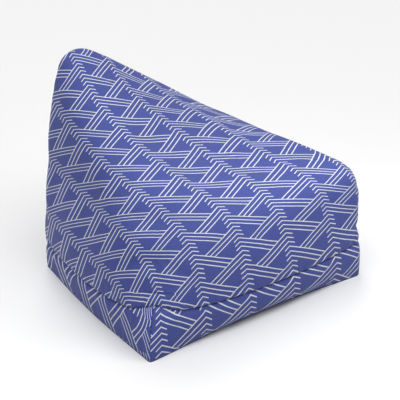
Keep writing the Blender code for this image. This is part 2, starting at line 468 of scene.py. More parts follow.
    def outside(self, points: np.ndarray) -> np.ndarray:
        """Below 0 inside the bag, 0 on its surface.

        Args:
            points: rows of x, y and z.
        Returns:
            One value for each row.
        """
        x, y, z = points.T
        drawn_in = self.drawn_in(x, y, z)
        facing = {SideName.FRONT: -y, SideName.RIGHT: x, SideName.BACK: y, SideName.LEFT: -x}
        total = np.zeros_like(z)
        for name, outward in facing.items():
            away = outward - self.wall_reach(name, x, y, z) + drawn_in
            total = total + np.clip(1 + away / self.wall_roll(name, x, y, z), 0.0, None) ** 2
        above = (z - self.top_height(x, y)) * self.top_slope_share
        total = total + np.clip(1 + above / self.between_corners(x, y, "roll"), 0.0, None) ** 2
        return np.sqrt(total) - 1

    def surface(self, starts: np.ndarray, aims: np.ndarray) -> np.ndarray:
        """Where rays from inside the bag leave it.

        Args:
            starts: rows of starting points inside the bag.
            aims: rows of directions.
        Returns:
            Rows of surface points.
        """
        aims = aims / np.linalg.norm(aims, axis=1)[:, None]
        near = np.zeros(len(starts))
        far = np.full(len(starts), self.ray_reach)
        for _ in range(self.ray_halvings):
            half = (near + far) / 2
            inside = self.outside(starts + aims * half[:, None]) < 0
            near = np.where(inside, half, near)
            far = np.where(inside, far, half)
        return starts + aims * ((near + far) / 2)[:, None]

    def around(self, points: np.ndarray) -> np.ndarray:
        """Places on the unit square's edge beside points."""
        plan = points[:, :2] / self.half
        return plan / np.abs(plan).max(axis=1)[:, None]

    def on_wall(self, around: np.ndarray, z: np.ndarray) -> np.ndarray:
        """Points of the walls.

        Args:
            around: places on the unit square's edge.
            z: the points' heights.
        Returns:
            Rows of surface points.
        """
        starts = np.column_stack((np.zeros((len(around), 2)), z))
        aims = np.column_stack((around * self.half, np.zeros(len(around))))
        return self.surface(starts, aims)

    def seam_beside(self, around: np.ndarray) -> np.ndarray:
        """Seam heights beside points of the unit square's edge."""
        wide, deep = self.half
        return self.seam_height(around[:, 0] * wide, around[:, 1] * deep)

    def normals(self, points: np.ndarray, reach: float = 0.002) -> np.ndarray:
        """Outward directions at surface points.

        Args:
            points: rows of surface points.
            reach: the short way over which the field's slope is taken.
        Returns:
            Rows of directions, 1 long.
        """
        slopes = []
        for axis in np.eye(3) * reach:
            slopes.append(self.outside(points + axis) - self.outside(points - axis))
        slope = np.column_stack(slopes)
        return slope / np.maximum(np.linalg.norm(slope, axis=1), TINY)[:, None]

    def round_the_foot(self, around: np.ndarray) -> np.ndarray:
        """Metres walked round the foot from the front left corner past the front, the right side, the
        back and the left side.

        Args:
            around: places on the unit square's edge.
        Returns:
            Metres walked to each place.
        """
        x, y = around.T
        wide, deep = self.half
        front = (x + 1) * wide
        right = self.width + (y + 1) * deep
        back = self.width + self.depth + (1 - x) * wide
        left = 2 * self.width + self.depth + (1 - y) * deep
        on_front = (y <= -1 + EDGE_SLACK) | ((y < 0) & (np.abs(y) >= np.abs(x)))
        on_back = (y >= 1 - EDGE_SLACK) | ((y > 0) & (np.abs(y) >= np.abs(x)))
        return np.where(on_front, front, np.where(on_back, back, np.where(x > 0, right, left)))


@dataclass(frozen=True)
class PictureView:
    """The camera at the picture's place, as it was fitted to the picture."""

    eye: tuple[float, float, float] = (-1.465, -2.052, 1.500)
    looking: tuple[float, float, float] = (0.5197, 0.7346, -0.4355)
    lens: float = 72.7
    sensor: float = 36.0
    picture_size: int = 400
    nearest: float = 1.4
    furthest: float = 4.0
    stride: float = 0.01
    halvings: int = 20

    def rays(self, pixels: np.ndarray) -> np.ndarray:
        """Directions from the eye through places in the picture.

        Args:
            pixels: rows of pixels from the picture's left and top.
        Returns:
            Rows of directions, 1 long.
        """
        ahead = np.array(self.looking) / np.linalg.norm(self.looking)
        right = np.cross(ahead, UP)
        right /= np.linalg.norm(right)
        aside = (pixels / self.picture_size - 0.5) * self.sensor / self.lens
        rays = ahead + aside @ np.array((right, np.cross(ahead, right)))
        return rays / np.linalg.norm(rays, axis=1)[:, None]

    def on_bag(self, form: BagForm, pixels: np.ndarray) -> np.ndarray:
        """Where the bag first lies behind places in the picture.

        Args:
            form: the bag's form.
            pixels: rows of pixels from the picture's left and top.
        Returns:
            Rows of surface points.
        """
        rays = self.rays(pixels)
        far = np.full(len(rays), self.furthest)
        for reach in np.arange(self.furthest, self.nearest, -self.stride):
            far[form.outside(self.eye + rays * reach) < 0] = reach
        near = far - self.stride
        for _ in range(self.halvings):
            half = (near + far) / 2
            inside = form.outside(self.eye + rays * half[:, None]) < 0
            near = np.where(inside, near, half)
            far = np.where(inside, half, far)
        return self.eye + rays * far[:, None]


@dataclass(frozen=True)
class SoftRelief:
    """The unevenness of cloth over loose filling: lumps, dents and the puckers beside its seams."""

    form: BagForm
    seed: int = 7
    pucker_seed: int = 107
    lump_height: float = 0.0011
    lump_at_ridge: float = 0.25
    ridge_reach: float = 0.09
    lump_count: int = 14
    lump_length: tuple[float, float] = (0.10, 0.30)
    pucker_height: float = 0.0015
    pucker_count: int = 16
    puckers_per_round: tuple[int, int] = (40, 130)
    pucker_reach: float = 0.030
    pucker_start: float = 0.004

    def lumps(self, points: np.ndarray) -> np.ndarray:
        """Broad lumps as a sum of waves in every direction, calmer where the cloth is taut on the ridge.

        Args:
            points: rows of places.
        Returns:
            Heights in metres.
        """
        chance = np.random.default_rng(self.seed)
        total = np.zeros(len(points))
        for _ in range(self.lump_count):
            heading = chance.normal(size=3)
            heading /= np.linalg.norm(heading)
            length = chance.uniform(*self.lump_length)
            total += np.sin(points @ heading * (2 * math.pi / length) + chance.uniform(0, 2 * math.pi))
        from_ridge = self.form.half[1] - points[:, 1]
        calm = 1 - (1 - self.lump_at_ridge) * bell(from_ridge / self.ridge_reach)
        return self.lump_height * calm * total / math.sqrt(self.lump_count / 2)

    def puckers(self, walked: np.ndarray, turn: int = 0) -> np.ndarray:
        """Puckers along a seam that runs round the foot.

        Args:
            walked: metres round the foot.
            turn: picks another draw of the same kind.
        Returns:
            Heights from about -1 to 1.
        """
        chance = np.random.default_rng(self.pucker_seed + turn)
        whole = 2 * (self.form.width + self.form.depth)
        total = np.zeros(len(walked))
        for _ in range(self.pucker_count):
            waves = int(chance.integers(*self.puckers_per_round))
            total += np.sin(walked * (2 * math.pi * waves / whole) + chance.uniform(0, 2 * math.pi))
        return total / math.sqrt(self.pucker_count / 2)

    def beside_seam(self, walked: np.ndarray, away: np.ndarray, turn: int = 0) -> np.ndarray:
        """Pucker heights in metres at a distance from a seam, which itself stays in place."""
        rise = 1 - np.exp(-np.maximum(away, 0.0) / self.pucker_start)
        return self.pucker_height * self.puckers(walked, turn) * rise * np.exp(-away / self.pucker_reach)

    def dents(self, points: np.ndarray) -> np.ndarray:
        """Depths of the soft hollows.

        Args:
            points: rows of places.
        Returns:
            Metres of depth at each place.
        """
        total = np.zeros(len(points))
        for dent in DENTS:
            offset = (points - (dent.x, dent.y, dent.z)) / (dent.reach_x, dent.reach_y, dent.reach_z)
            total += dent.depth * np.exp(-(offset**2).sum(axis=1))
        return total


def blend_of_marks(values: np.ndarray, places: np.ndarray, points: np.ndarray) -> np.ndarray:
    """Smooth values over space that meet those given at the marks.

    Args:
        values: a row of values for each mark.
        places: a row of coordinates for each mark.
        points: rows of coordinates to find values for.
    Returns:
        A row of values for each point.
    """
    count, width = places.shape
    even = np.column_stack((np.ones(count), places))
    system = np.zeros((count + width + 1, count + width + 1))
    system[:count, :count] = np.linalg.norm(places[:, None] - places[None], axis=-1) ** BLEND_POWER
    system[:count, count:] = even
    system[count:, :count] = even.T
    weights = np.linalg.solve(system, np.vstack((values, np.zeros((width + 1, values.shape[1])))))
    away = np.linalg.norm(points[:, None] - places[None], axis=-1) ** BLEND_POWER
    return away @ weights[:count] + np.column_stack((np.ones(len(points)), points)) @ weights[count:]


@dataclass(frozen=True)
class PrintLayout:
    """How the print's columns and rows lie over the top panel.

    A smooth blend of the marks gives them on the seat, the front and the left. The cloth folds over
    the ridge and the right edge, so there the print runs on from the top down the walls."""

    form: BagForm
    view: PictureView
    column_width: float = 0.178
    row_height: float = 0.0180
    fold_left: float = -0.400
    fold_right: float = 0.405
    fold_front: float = -0.335
    fold_back: float = 0.285
    fold_round: float = 0.110
    even_from: float = -0.240
    even_step: float = 0.080
    even_over: float = 0.160
    rear_below: float = 0.140
    rear_over: float = 0.150
    rear_from: float = 0.190
    rear_run: float = 0.090
    fall_angle_left: float = math.radians(58)
    fall_angle_front: float = math.radians(-20)

    @cached_property
    def marks(self) -> np.ndarray:
        """The panel's marks, those seen in the picture and those out of sight.

        Returns:
            Rows of a mark's column and row, and its x, y and z.
        """
        seen = np.array(PANEL_SEEN, dtype=float)
        places = self.view.on_bag(self.form, seen[:, 2:])
        return np.vstack((np.column_stack((seen[:, :2], places)), PANEL_HIDDEN))

    def over_marks(self, points: np.ndarray) -> np.ndarray:
        """Columns and rows from the marks, for rows of places."""
        return blend_of_marks(self.marks[:, :2], self.marks[:, 2:], points)

    def carried(self, points: np.ndarray) -> tuple[np.ndarray, np.ndarray]:
        """Columns and rows carried on from the fold above each place, and how far the cloth has fallen.

        Args:
            points: rows of places.
        Returns:
            Rows of a column number and a row number, and the metres fallen.
        """
        plan = np.clip(points[:, :2], (self.fold_left, self.fold_front), None)
        inner = np.minimum(plan, (self.fold_right - self.fold_round, self.fold_back - self.fold_round))
        out = plan - inner
        reach = np.maximum(np.linalg.norm(out, axis=1), TINY)
        held = np.minimum(reach, self.fold_round)
        height = np.full(len(plan), self.form.ray_height)
        fold = np.column_stack((inner + out * (held / reach)[:, None], height))
        top = self.form.surface(fold, np.tile(UP, (len(fold), 1)))
        fallen = (reach - held) + np.maximum(top[:, 2] - points[:, 2], 0.0)
        across, along = self.form.shares(fold[:, 0], fold[:, 1])
        angle = self.fall_angle_left * (1 - across) + self.fall_angle_front * (1 - along)
        values = self.over_marks(top)
        values[:, 0] += fallen * np.cos(angle) / self.column_width
        values[:, 1] -= fallen * np.sin(angle) / self.row_height
        return values, fallen

    def folded(self, points: np.ndarray) -> np.ndarray:
        """Columns and rows on the back and right walls. Below the peak they run on evenly from the
        part of the back wall beside it.

        Args:
            points: rows of places.
        Returns:
            Rows of a column number and a row number.
        """
        values, fallen = self.carried(points)
        past = np.minimum(points[:, 0] - self.even_from, 0.0)
        held = points - past[:, None] * (1.0, 0.0, 0.0)
        first, _ = self.carried(held)
        second, _ = self.carried(held + (self.even_step, 0.0, 0.0))
        even = first + (second - first) * (past / self.even_step)[:, None]
        share = smooth_step(fallen / self.even_over) * (past < 0)
        return values + (even - values) * share[:, None]

    def unfolded(self, points: np.ndarray) -> np.ndarray:
        """Columns and rows where the cloth isn't folded over. Round the left wall's rear corner they
        run on evenly from the wall beside it.

        Args:
            points: rows of places.
        Returns:
            Rows of a column number and a row number.
        """
        x, y, z = points.T
        low = smooth_step((self.form.top_height(x, y) - z - self.rear_below) / self.rear_over)
        share = low * smooth_step((y - self.rear_from) / self.rear_run) * (x < 0)
        held, before = (
            self.over_marks(np.column_stack((-self.form.wall_reach(SideName.LEFT, x, at, z), at, z)))
            for at in (np.minimum(y, self.rear_from), np.minimum(y, self.rear_from) - self.even_step)
        )
        past = np.maximum(y - self.rear_from, 0.0)
        even = held + (held - before) * (past / self.even_step)[:, None]
        values = self.over_marks(points)
        return values + (even - values) * share[:, None]

    def at(self, points: np.ndarray, around: np.ndarray) -> np.ndarray:
        """Columns and rows, for the cloth that folds over where it does.

        Args:
            points: rows of places.
            around: each place's spot on the unit square's edge.
        Returns:
            Rows of a column number and a row number.
        """
        values = self.over_marks(points)
        past_right = points[:, 0] > self.fold_right - self.fold_round
        past_back = points[:, 1] > self.fold_back - self.fold_round
        over = (around.sum(axis=1) >= -EDGE_SLACK) & (past_right | past_back)
        values[over] = self.folded(points[over])
        return values


def crowded(places: np.ndarray, crowding: float = 0.75) -> np.ndarray:
    """The same places from -1 to 1, moved closer together towards both ends."""
    return places + (np.sin(places * math.pi / 2) - places) * crowding


def unit_grid(
    mesh: bmesh.types.BMesh, steps: int
) -> tuple[list[bmesh.types.BMVert], np.ndarray, np.ndarray]:
    """A square grid whose vertices each keep their place on the unit square's edge.

    Args:
        mesh: where the grid goes.
        steps: squares along each side.
    Returns:
        The vertices, their places on the edge, and the ring they lie on, from 0 to 1.
    """
    layer = mesh.verts.layers.float_vector.new(PLACE_LAYER)
    bmesh.ops.create_grid(mesh, x_segments=steps, y_segments=steps, size=1.0)
    verts = list(mesh.verts)
    flat = places_of(verts)[:, :2]
    ring = np.abs(flat).max(axis=1)
    around = crowded(flat / np.maximum(ring, TINY)[:, None])
    for vert, spot in zip(verts, around, strict=True):
        vert[layer] = (*spot, 0.0)
    return verts, around, ring


def around_of(verts: list[bmesh.types.BMVert], layer: bmesh.types.BMLayerItem) -> np.ndarray:
    """The plan place that each vertex keeps, as rows of x and y on the unit square."""
    return np.array([(vert[layer].x, vert[layer].y) for vert in verts])


def place(verts: list[bmesh.types.BMVert], points: np.ndarray) -> None:
    """Move vertices to rows of coordinates."""
    for vert, point in zip(verts, points, strict=True):
        vert.co = point


def places_of(verts: list[bmesh.types.BMVert]) -> np.ndarray:
    """Rows of the vertices' coordinates."""
    return np.array([vert.co for vert in verts], dtype=float)


def grow_ring(
    mesh: bmesh.types.BMesh, edges: list[bmesh.types.BMEdge]
) -> tuple[list[bmesh.types.BMEdge], list[bmesh.types.BMVert]]:
    """Extrude a ring of edges.

    Args:
        mesh: the mesh that is worked on.
        edges: the ring.
    Returns:
        The new ring's edges and vertices.
    """
    made = bmesh.ops.extrude_edge_only(mesh, edges=edges)["geom"]
    verts = [item for item in made if isinstance(item, bmesh.types.BMVert)]
    fresh = set(verts)
    ring = [item for item in made if isinstance(item, bmesh.types.BMEdge) and set(item.verts) <= fresh]
    return ring, verts


def inset(points: np.ndarray, by: float, form: BagForm) -> np.ndarray:
    """The same points, moved in from the walls."""
    wide, deep = form.half
    return points * (1 - by / wide, 1 - by / deep, 1.0)


def lay_map(mesh: bmesh.types.BMesh, values: np.ndarray, folded: np.ndarray | None = None) -> None:
    """Write the cloth's UV map.

    Args:
        mesh: the mesh.
        values: a row of values for each vertex.
        folded: other values for the faces at the back and on the right, where there are any. The
            vertices then keep their places on the unit square's edge.
    """
    layer = mesh.verts.layers.float_vector.get(PLACE_LAYER)
    cloth_map = mesh.loops.layers.uv.new(CLOTH_MAP)
    mesh.verts.index_update()
    for face in mesh.faces:
        used = values
        if folded is not None:
            middle = sum((vert[layer] for vert in face.verts), Vector())
            used = folded if middle.x + middle.y > 0 else values
        for loop in face.loops:
            loop[cloth_map].uv = used[loop.vert.index]


def thicken(mesh: bmesh.types.BMesh) -> list[bmesh.types.BMVert]:
    """Give a sheet its second face, and return the vertices of it."""
    made = bmesh.ops.extrude_face_region(mesh, geom=list(mesh.faces))["geom"]
    return [item for item in made if isinstance(item, bmesh.types.BMVert)]


def subdivide(piece: bpy.types.Object, levels: int) -> None:
    """Give a piece a live subdivision, with the same levels in the view and the render.

    Args:
        piece: the piece.
        levels: how many times each face is split.
    """
    finer = piece.modifiers.new("finer", "SUBSURF")
    finer.levels = levels
    finer.render_levels = levels


def coordinates(data: bpy.types.Mesh) -> np.ndarray:
    """A finished mesh's coordinates.

    Args:
        data: the mesh.
    Returns:
        Rows of x, y and z.
    """
    flat = np.empty(len(data.vertices) * 3)
    data.vertices.foreach_get("co", flat)
    return flat.reshape(-1, 3)


def move_to(data: bpy.types.Mesh, points: np.ndarray) -> None:
    """Move a finished mesh's vertices to rows of coordinates."""
    data.vertices.foreach_set("co", points.ravel())
    data.update()


def clothe(piece: bpy.types.Object, material: bpy.types.Material, node: str) -> None:
    """Give a piece its cloth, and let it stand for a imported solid.

    Args:
        piece: the piece.
        material: its cloth.
        node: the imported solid's node.
    """
    piece.data.materials.append(material)
    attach(piece, BODY)
    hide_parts(node)


def in_scene(name: str, data: bpy.types.ID) -> bpy.types.Object:
    """A new object, linked to the scene.

    Args:
        name: its name.
        data: its mesh, light or camera.
    Returns:
        The object.
    """
    made = bpy.data.objects.new(name, data)
    bpy.context.scene.collection.objects.link(made)
    return made


def as_piece(mesh: bmesh.types.BMesh, name: str) -> bpy.types.Object:
    """Turn a bmesh into a shown object with smooth shading.

    Args:
        mesh: the finished bmesh, which is freed.
        name: the piece's name.
    Returns:
        The object.
    """
    data = bpy.data.meshes.new(name)
    mesh.to_mesh(data)
    mesh.free()
    data.shade_smooth()
    return in_scene(name, data)


@dataclass(frozen=True)
class Settling:
    """Lets a filled piece of cloth settle under its filling's pressure."""

    pressure: float = 4.0
    growth: float = 0.020
    frames: int = 18
    quality: int = 4
    furthest: float = 0.004

    def settle(self, piece: bpy.types.Object, held: list[float]) -> None:
        """Run the cloth and keep what it gives, within the furthest move.

        Args:
            piece: the object, whose mesh is changed.
            held: for each vertex, how firmly it is held, from 0 to 1.
        """
        group = piece.vertex_groups.new(name="held")
        for index, weight in enumerate(held):
            if weight > 0:
                group.add([index], weight, "REPLACE")
        cloth = piece.modifiers.new("settle", "CLOTH")
        settings = cloth.settings
        settings.quality = self.quality
        settings.use_pressure = True
        settings.uniform_pressure_force = self.pressure
        settings.shrink_min = -self.growth
        settings.vertex_group_mass = group.name
        settings.effector_weights.gravity = 0.0
        cloth.collision_settings.use_collision = False
        scene = bpy.context.scene
        for frame in range(1, self.frames + 1):
            scene.frame_set(frame)
        settled = piece.evaluated_get(bpy.context.evaluated_depsgraph_get()).data
        before = coordinates(piece.data)
        move = coordinates(settled) - before
        length = np.linalg.norm(move, axis=1)
        eased = self.furthest * np.tanh(length / self.furthest)
        move *= (eased / np.maximum(length, TINY))[:, None]
        piece.modifiers.remove(cloth)
        piece.vertex_groups.remove(group)
        scene.frame_set(1)
        move_to(piece.data, before + move)


@dataclass
class TopPanel:
    """The printed panel over the filling, from the seat and the peak down to the band seam."""

    form: BagForm
    relief: SoftRelief
    layout: PrintLayout
    settling: Settling
    steps: int = 104
    wall_share: float = 12 / 22
    rises: tuple[float, ...] = (0.0, 0.0025, 0.006, 0.011, 0.018, 0.027, 0.039, 0.054)
    tucked: float = 0.0045
    own_shape: float = 0.12
    base_top: float = 0.0029
    hidden_rows: tuple[float, ...] = (0.9, 0.6, 0.3, 0.0)
    seam_crease: float = 0.0035
    seam_crease_width: float = 0.0030
    overhang: float = 0.0025
    overhang_above: float = 0.012
    overhang_reach: float = 0.010
    dart_depth: float = 0.0028
    dart_width: float = 0.006
    dart_pucker: float = 0.0014
    dart_pucker_stretch: float = 1.7
    dart_pucker_start: float = 0.004
    dart_pucker_reach: float = 0.022
    dart_below: float = 0.80
    dart_fade: float = 0.12
    dart_start: float = 0.02
    lumps_start: float = 0.05
    held_below: float = 0.004
    held_fade: float = 0.05
    fill: float = 0.75
    name: str = "top_panel_cloth"
    shown_verts: int = 0

    def profile(self, around: np.ndarray, ring: np.ndarray) -> np.ndarray:
        """Rough places of the panel's rings, to aim at from inside.

        Args:
            around: places on the unit square's edge.
            ring: 1 at the foot of the rings, falling to 0 at the top's middle.
        Returns:
            Rows of rough places.
        """
        climb = np.clip((1 - ring) / self.wall_share, 0.0, 1.0)
        spread = np.clip(ring / (1 - self.wall_share), 0.0, 1.0)
        foot = around * self.form.half
        plan = foot * spread[:, None]
        edge = self.form.top_height(foot[:, 0], foot[:, 1])
        start = self.form.ray_height
        wall = start + (edge - start) * climb
        height = np.where(climb < 1, wall, self.form.top_height(plan[:, 0], plan[:, 1]))
        return np.column_stack((plan, height))

    def shaped(self) -> bmesh.types.BMesh:
        """A grid blown up to the crown, run down the walls to the seam, then closed behind the bands.

        Returns:
            The closed mesh, whose shown vertices come first.
        """
        form = self.form
        mesh = bmesh.new()
        verts, around, ring = unit_grid(mesh, self.steps)
        layer = mesh.verts.layers.float_vector[PLACE_LAYER]
        starts = np.tile((0.0, 0.0, form.ray_height), (len(verts), 1))
        place(verts, form.surface(starts, self.profile(around, ring) - starts))
        edges = [edge for edge in mesh.edges if edge.is_boundary]
        for rise in reversed(self.rises):
            edges, verts = grow_ring(mesh, edges)
            around = around_of(verts, layer)
            place(verts, form.on_wall(around, form.seam_beside(around) + rise))
        self.shown_verts = len(mesh.verts)
        for share in (1.0, *self.hidden_rows):
            edges, verts = grow_ring(mesh, edges)
            around = around_of(verts, layer)
            height = self.base_top + (form.seam_beside(around) - self.base_top) * share
            place(verts, inset(form.on_wall(around, height), self.tucked, form))
        closing = bmesh.ops.edgeloop_fill(mesh, edges=edges)["faces"]
        bmesh.ops.triangulate(mesh, faces=closing, quad_method="BEAUTY", ngon_method="BEAUTY")
        bmesh.ops.recalc_face_normals(mesh, faces=mesh.faces)
        return mesh

    def lift(self, points: np.ndarray, around: np.ndarray) -> np.ndarray:
        """How far relief moves the cloth out: lumps, dents, puckers over the seam and the darts.

        Args:
            points: rows of surface points.
            around: their places on the unit square's edge.
        Returns:
            Metres out at each point.
        """
        form = self.form
        walked = form.round_the_foot(around)
        above = points[:, 2] - form.seam_beside(around)
        beside = np.minimum(np.abs(walked - form.width), np.abs(walked - form.width * 2 - form.depth))
        up = smooth_step(above / self.dart_start)
        up = up * smooth_step((self.dart_below - points[:, 2]) / self.dart_fade)
        ruffle = self.dart_pucker * self.relief.puckers(points[:, 2] * self.dart_pucker_stretch, turn=3)
        ruffle = ruffle * (1 - np.exp(-beside / self.dart_pucker_start))
        ruffle = ruffle * np.exp(-beside / self.dart_pucker_reach)
        return (
            self.relief.lumps(points) * smooth_step(above / self.lumps_start)
            - self.relief.dents(points)
            + self.relief.beside_seam(walked, np.maximum(above, 0.0))
            + self.overhang * bell((above - self.overhang_above) / self.overhang_reach)
            - self.seam_crease * bell(above / self.seam_crease_width)
            + (ruffle - self.dart_depth * bell(beside / self.dart_width)) * up
        )

    def build(self) -> bpy.types.Object:
        """Shape the panel, let it settle, and give it its relief and its print's layout.

        Returns:
            The finished piece.
        """
        mesh = self.shaped()
        verts = list(mesh.verts)
        around = around_of(verts, mesh.verts.layers.float_vector[PLACE_LAYER])
        visible = np.arange(len(verts)) < self.shown_verts
        points = places_of(verts)
        moved = points.copy()
        normals = self.form.normals(points[visible])
        moved[visible] += normals * self.lift(points[visible], around[visible])[:, None]
        lay_map(mesh, self.layout.unfolded(points), self.layout.at(points, around))
        piece = as_piece(mesh, self.name)
        above = points[:, 2] - self.form.seam_beside(around)
        held = 1 - smooth_step((above - self.held_below) / self.held_fade)
        held = np.maximum(held, self.own_shape)
        held[~visible] = 1.0
        self.settling.settle(piece, held.tolist())
        moved += coordinates(piece.data) - points
        move_to(piece.data, moved)
        subdivide(piece, levels=1)
        return piece

    def dress(self, piece: bpy.types.Object, material: bpy.types.Material) -> None:
        clothe(piece, material, "top_panel")


@dataclass
class BandStrip:
    """One strip of the band, from its corner seam at one end to the one at the other."""

    form: BagForm
    relief: SoftRelief
    view: PictureView
    side: SideName
    steps: int = 104
    rows: int = 14
    row_crowding: float = 0.4
    thickness: float = 0.0018
    cut_height: float = 0.14
    base_top: float = 0.0029
    seam_gap: float = 0.0006
    under_seam: float = 0.0004
    seam_crease: float = 0.0030
    seam_crease_width: float = 0.0035
    foot_pucker_share: float = 0.6
    pucker_free_end: float = 0.02
    end_crease: float = 0.0022
    end_crease_width: float = 0.005
    end_crease_start: float = 0.004

    @property
    def name(self) -> str:
        """The piece's name."""
        return f"band_{self.side.value}_cloth"

    @property
    def length(self) -> float:
        """The strip's length."""
        return self.form.width if self.side in (SideName.FRONT, SideName.BACK) else self.form.depth

    @property
    def ends(self) -> tuple[np.ndarray, np.ndarray]:
        """The places on the unit square that the strip runs between."""
        side = SIDES[self.side]
        return np.array(CORNERS[side.start][:2]), np.array(CORNERS[side.end][:2])

    def marks(self) -> np.ndarray:
        """The strip's marks.

        Returns:
            Rows of a mark's column and row, its metres from the strip's start and its height.
        """
        if self.side in BAND_HIDDEN:
            return np.array(BAND_HIDDEN[self.side], dtype=float)
        seen = np.array(BAND_SEEN[self.side], dtype=float)
        points = self.view.on_bag(self.form, seen[:, 2:])
        start, end = self.ends
        along = (self.form.around(points) - start) @ (end - start) / ((end - start) @ (end - start))
        return np.column_stack((seen[:, :2], along * self.length, points[:, 2]))

    def build(self) -> bpy.types.Object:
        """Shape the strip and lay out its print.

        Returns:
            The finished piece.
        """
        form = self.form
        start, end = self.ends
        mesh = bmesh.new()
        bmesh.ops.create_grid(mesh, x_segments=self.steps, y_segments=self.rows, size=1.0)
        verts = list(mesh.verts)
        flat = places_of(verts)
        gap = self.seam_gap / form.depth
        along = gap + (crowded(flat[:, 0]) + 1) / 2 * (1 - 2 * gap)
        share = (crowded(flat[:, 1], self.row_crowding) + 1) / 2
        around = start + (end - start) * along[:, None]
        seam = form.seam_beside(around)
        height = self.base_top + (seam - self.under_seam - self.base_top) * share
        points = form.on_wall(around, height)
        normals = form.normals(points)
        normals[:, 2] = 0.0
        points += normals * self.lift(around, along, height, seam)[:, None]
        place(verts, points)
        marks = self.marks()
        laid = np.column_stack((along * self.length, height))
        lay_map(mesh, blend_of_marks(marks[:, :2], marks[:, 2:], laid))
        inner = thicken(mesh)
        place(inner, inset(places_of(inner), self.thickness, form))
        bmesh.ops.recalc_face_normals(mesh, faces=mesh.faces)
        piece = as_piece(mesh, self.name)
        subdivide(piece, levels=1)
        return piece

    def lift(
        self, around: np.ndarray, along: np.ndarray, height: np.ndarray, seam: np.ndarray
    ) -> np.ndarray:
        """How far relief moves the strip out: puckers under the seam and over the foot, and the
        creases at its ends.

        Args:
            around: places on the unit square's edge.
            along: their shares of the strip's length.
            height: the points' heights.
            seam: the seam's height beside them.
        Returns:
            Metres out at each point.
        """
        walked = self.form.round_the_foot(around)
        to_end = np.minimum(along, 1 - along) * self.length
        under = self.relief.beside_seam(walked, seam - height, turn=1)
        under = under - self.seam_crease * bell((seam - height) / self.seam_crease_width)
        over = self.relief.beside_seam(walked, height - self.base_top, turn=2) * self.foot_pucker_share
        ends = 1 - np.exp(-to_end / self.pucker_free_end)
        crease = self.end_crease * bell(to_end / self.end_crease_width)
        crease = crease * smooth_step((height - self.base_top) / self.end_crease_start)
        return (under + over) * ends - crease

    def dress(self, piece: bpy.types.Object, material: bpy.types.Material) -> None:
        """Args:
            piece: the strip's object.
            material: its cloth.
        """
        clothe(piece, material, f"band_{self.side.value}")


@dataclass
class BasePanel:
    """The flat base that the bag stands on."""

    form: BagForm
    thickness: float = 0.0025
    steps: int = 44
    spare_width: float = 0.02
    spare_depth: float = 0.01
    name: str = "base_panel_cloth"

    def build(self) -> bpy.types.Object:
        """Cut the base to the foot of the bands.

        Returns:
            The finished piece.
        """
        mesh = bmesh.new()
        verts, around, ring = unit_grid(mesh, self.steps)
        rim = self.form.on_wall(around + (ring < TINY)[:, None], np.full(len(verts), self.thickness))
        place(verts, np.column_stack((rim[:, :2] * ring[:, None], np.zeros(len(verts)))))
        lay_map(mesh, places_of(verts)[:, :2])
        bmesh.ops.translate(mesh, verts=thicken(mesh), vec=(0.0, 0.0, self.thickness))
        bmesh.ops.recalc_face_normals(mesh, faces=mesh.faces)
        return as_piece(mesh, self.name)

    def dress(self, piece: bpy.types.Object, material: bpy.types.Material) -> None:
        """Args:
            piece: the base's object.
            material: its cloth.
        """
        clothe(piece, material, "base_panel")


class Bench:
    """Places shader nodes in one tree and joins them."""

    def __init__(self, tree: bpy.types.NodeTree) -> None:
        """Work on one node tree."""
        self.tree = tree

    @property
    def given(self) -> bpy.types.bpy_prop_collection:
        """A group's inputs, as sockets to join from."""
        return self.tree.nodes["Group Input"].outputs

    @property
    def shader(self) -> bpy.types.Node:
        """A material's shader."""
        return self.tree.nodes["Principled BSDF"]

    def join(self, node: bpy.types.Node, **sockets: bpy.types.NodeSocket) -> None:
        """Join sockets to a node's inputs, given by name with _ for a space."""
        for name, socket in sockets.items():
            self.tree.links.new(socket, node.inputs[name.replace("_", " ")])

    def put_out(self, **sockets: bpy.types.NodeSocket) -> None:
        """Join sockets to a group's outputs of the same names."""
        self.join(self.tree.nodes["Group Output"], **sockets)

    def node(self, kind: str, inputs: dict | None = None, **settings) -> bpy.types.Node:
        """Add a node.

        Args:
            kind: the node's type.
            inputs: input names or numbers, with values or with sockets to join.
            settings: the node's own settings.
        Returns:
            The node.
        """
        made = self.tree.nodes.new(kind)
        for setting, value in settings.items():
            setattr(made, setting, value)
        for key, value in (inputs or {}).items():
            if isinstance(value, bpy.types.NodeSocket):
                self.tree.links.new(value, made.inputs[key])
            else:
                made.inputs[key].default_value = value
        return made

    def math(self, operation: str, *values, clamp: bool = False) -> bpy.types.NodeSocket:
        """The result of a math node.

        Args:
            operation: the node's operation.
            values: numbers or sockets.
            clamp: whether the result stays from 0 to 1.
        Returns:
            The node's output.
        """
        inputs = dict(enumerate(values))
        return self.node("ShaderNodeMath", inputs, operation=operation, use_clamp=clamp).outputs[0]


def new_group(
    name: str, inputs: dict[str, tuple[str, float | None]], outputs: dict[str, str]
) -> bpy.types.NodeTree:
    """A shader node group with named sockets.

    Args:
        name: the group's name.
        inputs: each input's name, with its socket type and default value.
        outputs: each output's name and socket type.
    Returns:
        The group's tree, with its input and output nodes in place.
    """
    tree = bpy.data.node_groups.new(name, "ShaderNodeTree")
    for label, (kind, default) in inputs.items():
        socket = tree.interface.new_socket(label, in_out="INPUT", socket_type=kind)
        if default is not None:
            socket.default_value = default
    for label, kind in outputs.items():
        tree.interface.new_socket(label, in_out="OUTPUT", socket_type=kind)
    tree.nodes.new("NodeGroupInput")
    tree.nodes.new("NodeGroupOutput")
    return tree


def new_material(name: str) -> tuple[bpy.types.Material, Bench]:
    """A material with nodes, and the bench for them.

    Args:
        name: the material's name.
    Returns:
        The material and its bench.
    """
    made = bpy.data.materials.new(name)
    made.use_nodes = True
    return made, Bench(made.node_tree)


